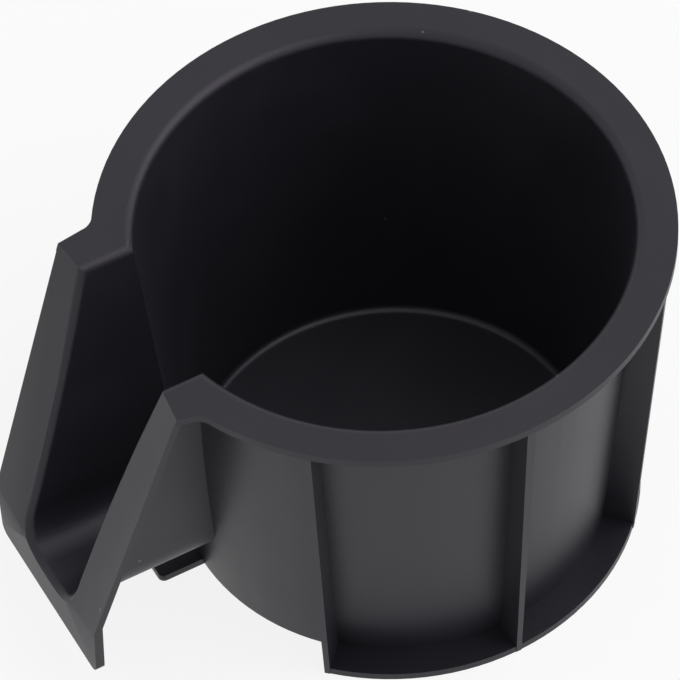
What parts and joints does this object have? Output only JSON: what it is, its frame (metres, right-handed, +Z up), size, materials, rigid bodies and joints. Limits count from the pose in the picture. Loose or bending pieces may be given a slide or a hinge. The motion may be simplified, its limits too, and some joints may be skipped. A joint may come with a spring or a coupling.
{
  "type": "car cup holder",
  "caption": "Black plastic insert cup for a car console, with a flat rim, stiffening ribs, a foot flange and a side chute that lets a mug handle hang down",
  "frame": {"origin": "on the cup's axis at the underside of its base", "axes": "+Z up along the cup's axis out of its mouth; the handle chute opens to -Y; +X to the right when the chute is seen from behind the cup"},
  "size_m": [0.1, 0.1172, 0.0715],
  "materials": {
    "black_plastic": "satin"
  },
  "bodies": {
    "root": {"holder": "black_plastic"}
  },
  "joints": []
}
